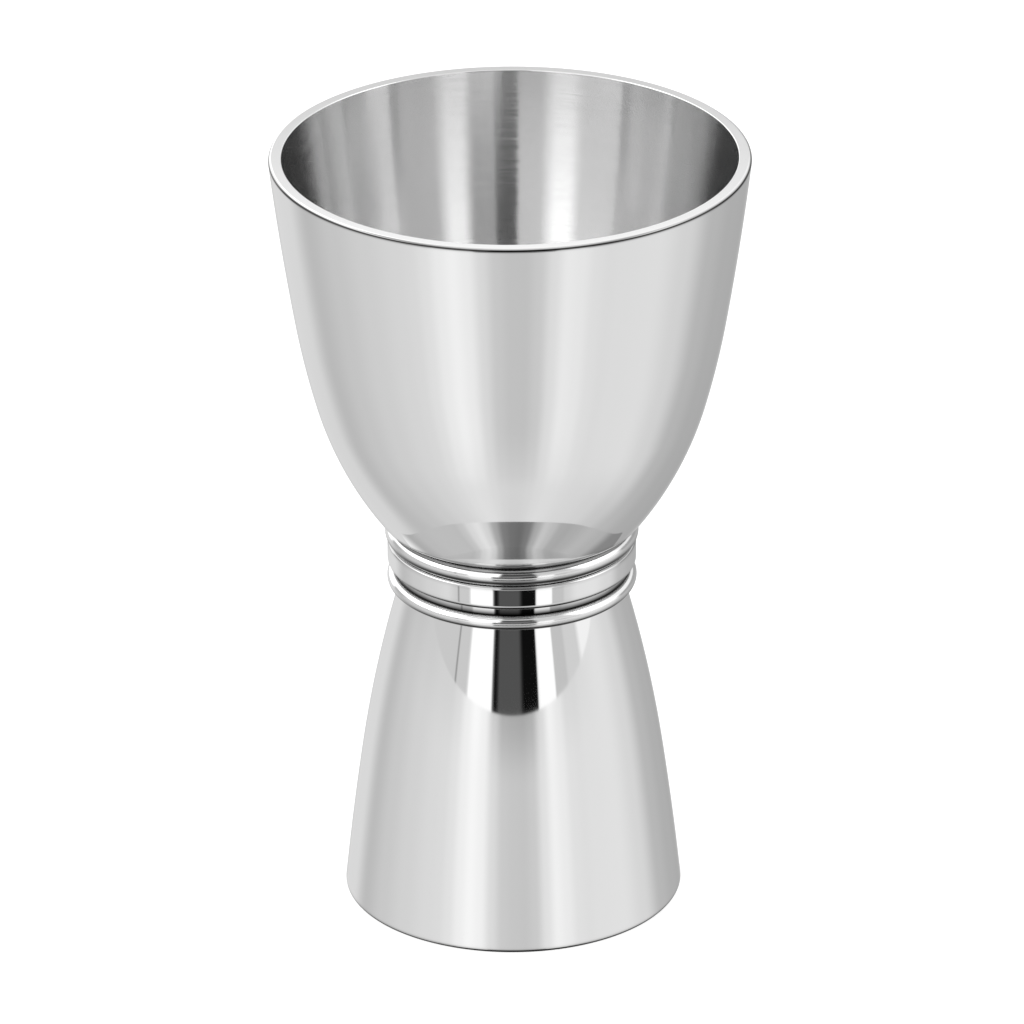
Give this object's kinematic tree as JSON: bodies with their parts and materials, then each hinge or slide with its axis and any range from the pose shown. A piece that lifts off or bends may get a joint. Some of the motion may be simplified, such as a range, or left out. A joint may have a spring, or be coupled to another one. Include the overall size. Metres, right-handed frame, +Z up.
{
  "type": "double jigger",
  "caption": "Double-ended spirit measure: a large bell cup above and a small inverted cup below, joined at a banded waist, in polished steel.",
  "frame": {"origin": "centre of the small cup's lip, on the table", "axes": "+Z up the axis of both cups, from the small cup's mouth to the large cup's mouth; X and Y are free about that axis"},
  "size_m": [0.0509, 0.051, 0.085],
  "materials": {
    "polished_steel": "mirror polished outside, fine turned brushing inside",
    "polished_trim": "mirror polished",
    "braze_filler": "as flowed, hidden"
  },
  "bodies": {
    "root": {"large_cup": "polished_steel", "small_cup": "polished_steel", "waist_band": "polished_trim", "upper_bead": "polished_trim", "lower_bead": "polished_trim", "braze_disc": "braze_filler"}
  },
  "joints": []
}
